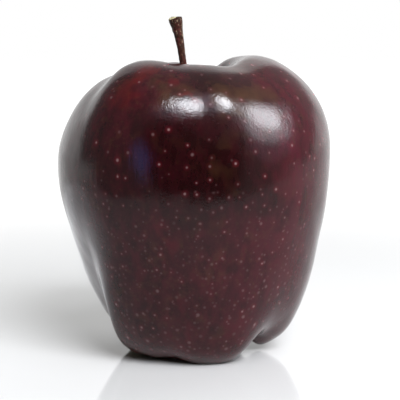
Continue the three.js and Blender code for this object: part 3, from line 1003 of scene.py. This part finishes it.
def card_material(name, strength, tint):
    """A glow with soft edges on the side towards the fruit. Elsewhere the room shows through."""
    material = bpy.data.materials.new(name)
    nodes = emptied(material)
    from_middle = nodes.vector("DISTANCE", nodes.add("TexCoord").outputs["UV"], (0.5, 0.5, 0))
    fade = nodes.between(from_middle, 0.5, CARD_FULL)
    bounces = nodes.add("LightPath").outputs["Ray Depth"]
    direct = nodes.math("LESS_THAN", bounces, 1.5)      # the floor's mirror image of it is hidden
    inwards = nodes.add("NewGeometry").outputs["Backfacing"]
    bright = nodes.times(fade, strength, direct, inwards)
    glow = nodes.add("Emission", {"Color": (*tint, 1), "Strength": bright})
    clear = nodes.add("BsdfTransparent")
    both = nodes.add("AddShader", {0: glow.outputs[0], 1: clear.outputs[0]})
    nodes.add("OutputMaterial", {"Surface": both.outputs[0]})
    return material


def add_card(name, width, height, strength, tint):
    """A glowing card that only shows as a reflection in glossy surfaces."""
    deselect_all()
    bpy.ops.mesh.primitive_plane_add(size=1)
    card = bpy.context.object
    card.name = name
    card.scale = (width, height, 1)
    for flag in ("visible_camera", "visible_diffuse", "visible_shadow", "visible_transmission"):
        setattr(card, flag, False)
    card.data.materials.append(card_material(name, strength, tint))
    return card


def hang_card(name, azimuth, elevation, width, height, strength, tint):
    """A card among the lamps, facing the fruit."""
    aim(add_card(name, span(width), span(height), strength, tint), azimuth, elevation)


def lay_card(name, place, long, wide, azimuth, strength, tint):
    """A card just over the floor, its long way pointing away from the fruit, its glow upwards."""
    card = add_card(name, long, wide, strength, tint)
    card.location = place
    card.rotation_euler = (math.pi, 0, math.radians(azimuth))


def hang_lamp(name, azimuth, elevation, width, height, power):
    """A big soft lamp that lights the stage but isn't mirrored in the gloss."""
    data = bpy.data.lights.new(name, "AREA")
    data.shape = "ELLIPSE"
    data.size, data.size_y = span(width), span(height)
    data.energy = power
    lamp = put_in_scene(name, data)
    aim(lamp, azimuth, elevation)
    lamp.visible_glossy = False


def mirrored_room(nodes, stage, facing):
    """What the gloss mirrors in each direction."""
    parts = nodes.parts(facing)
    shift = nodes.between(parts["Z"], *BACKDROP_NARROWS, 0.0, BACKDROP_SHIFT)
    off_middle = nodes.math("SUBTRACT", parts["X"], nodes.times(shift, parts["Y"]))
    sideways = nodes.math("ABSOLUTE", off_middle)
    half_width = nodes.between(parts["Z"], *BACKDROP_NARROWS, *BACKDROP_HALF_WIDTHS)
    inside = nodes.math("SUBTRACT", nodes.times(half_width, parts["Y"]), sideways)
    bright = nodes.math("ADD", nodes.between(sideways, *BACKDROP_WINGS),
                        nodes.between(parts["Z"], *BACKDROP_ABOVE))
    behind = nodes.grey(nodes.times(bright, nodes.between(parts["Z"], *BACKDROP_FADES)))
    side = nodes.grey(nodes.between(parts["X"], *GREY_SIDES))
    colours = nodes.mix(nodes.between(parts["Z"], *GREY_TOP_FROM), side, (GREY_TOP,) * 3)
    frontal = nodes.vector("DOT_PRODUCT", facing, towards(*DARK_FRONT))
    dark, grey = (math.cos(math.radians(angle)) for angle in DARK_REACH)
    colours = nodes.mix(nodes.between(frontal, grey, dark), colours, stage.room)
    return nodes.mix(nodes.between(inside, *BACKDROP_EDGE), colours, behind)


def light_world(stage):
    """White to the eye, a studio room to the gloss, and a soft fill to everything else."""
    world = bpy.data.worlds.new("studio")
    bpy.context.scene.world = world
    nodes = emptied(world)
    ray = nodes.add("LightPath").outputs
    facing = nodes.add("TexCoord").outputs["Generated"]
    lit = nodes.mix(ray["Is Glossy Ray"], stage.fill, mirrored_room(nodes, stage, facing))
    seen = nodes.mix(ray["Is Camera Ray"], lit, stage.backdrop)
    glow = nodes.add("Background", {"Color": seen, "Strength": 1.0})
    nodes.add("OutputWorld", {"Surface": glow.outputs[0]})


def set_stage(stage):
    """The camera, the floor, the world and the lamps."""
    set_camera(stage)
    board = floor_material(stage)
    far = FLOOR_REACH
    left, front = BOARD_EDGE[0][1], BOARD_EDGE[-1][1]
    lay_floor("floor", [(-far, left), *BOARD_EDGE, (far, front), (far, far), (-far, far)], board,
              True)
    lay_floor("floor_front", [(far, -far), (far, front), *reversed(BOARD_EDGE), (-far, left),
                              (-far, -far)], board, False)
    light_world(stage)
    for name, card in CARDS.items():
        hang_card(name, *card)
    lay_card("card_low", *LOW_CARD)
    for name, lamp in LAMPS.items():
        hang_lamp(name, *lamp)
    bpy.context.scene.view_settings.view_transform = "Standard"


# ------------------------------------------------------------------ operators and panel

class APPLE_OT_fruit(bpy.types.Operator):
    """Grow the fruit and wax its skin"""
    bl_idname = "apple.fruit"
    bl_label = "Fruit"

    def execute(self, context):
        grow_fruit(context.scene.apple_fruit, context.scene.apple_skin)
        return {"FINISHED"}


class APPLE_OT_stem(bpy.types.Operator):
    """Grow the woody stem in the cavity"""
    bl_idname = "apple.stem"
    bl_label = "Stem"

    def execute(self, context):
        grow_stem(context.scene.apple_stem)
        return {"FINISHED"}


class APPLE_OT_calyx(bpy.types.Operator):
    """Grow the dried calyx in the basin underneath"""
    bl_idname = "apple.calyx"
    bl_label = "Calyx"

    def execute(self, context):
        calyx = context.scene.apple_calyx
        husk = husk_material(calyx)
        grow_button(husk)
        grow_sepals(calyx, husk)
        grow_stamens(calyx, husk)
        return {"FINISHED"}


class APPLE_OT_stage(bpy.types.Operator):
    """Set the camera, the floor and the lamps"""
    bl_idname = "apple.stage"
    bl_label = "Stage"

    def execute(self, context):
        set_stage(context.scene.apple_stage)
        return {"FINISHED"}


OPERATORS = (APPLE_OT_stage, APPLE_OT_fruit, APPLE_OT_stem, APPLE_OT_calyx)
PROPERTIES = {
    "apple_fruit": FruitProperties,
    "apple_skin": SkinProperties,
    "apple_stem": StemProperties,
    "apple_calyx": CalyxProperties,
    "apple_stage": StageProperties,
}


class APPLE_PT_panel(bpy.types.Panel):
    """Lists what the apple is made of, with its sizes and colours"""
    bl_idname = "APPLE_PT_panel"
    bl_label = "Dessert apple"
    bl_space_type = "VIEW_3D"
    bl_region_type = "UI"
    bl_category = "Apple"

    def draw(self, context):
        for operator in OPERATORS:
            self.layout.operator(operator.bl_idname)
        for name, kind in PROPERTIES.items():
            box = self.layout.box()
            for prop in kind.__annotations__:
                box.prop(getattr(context.scene, name), prop)


CLASSES = (*PROPERTIES.values(), *OPERATORS, APPLE_PT_panel)


def register():
    for cls in CLASSES:
        bpy.utils.register_class(cls)
    for name, kind in PROPERTIES.items():
        setattr(bpy.types.Scene, name, PointerProperty(type=kind))


def unregister():
    for name in PROPERTIES:
        delattr(bpy.types.Scene, name)
    for cls in reversed(CLASSES):
        bpy.utils.unregister_class(cls)


def main():
    """Makes every piece and the stage."""
    register()
    bpy.ops.apple.stage()
    bpy.ops.apple.fruit()
    bpy.ops.apple.stem()
    bpy.ops.apple.calyx()


if __name__ == "__main__":
    main()
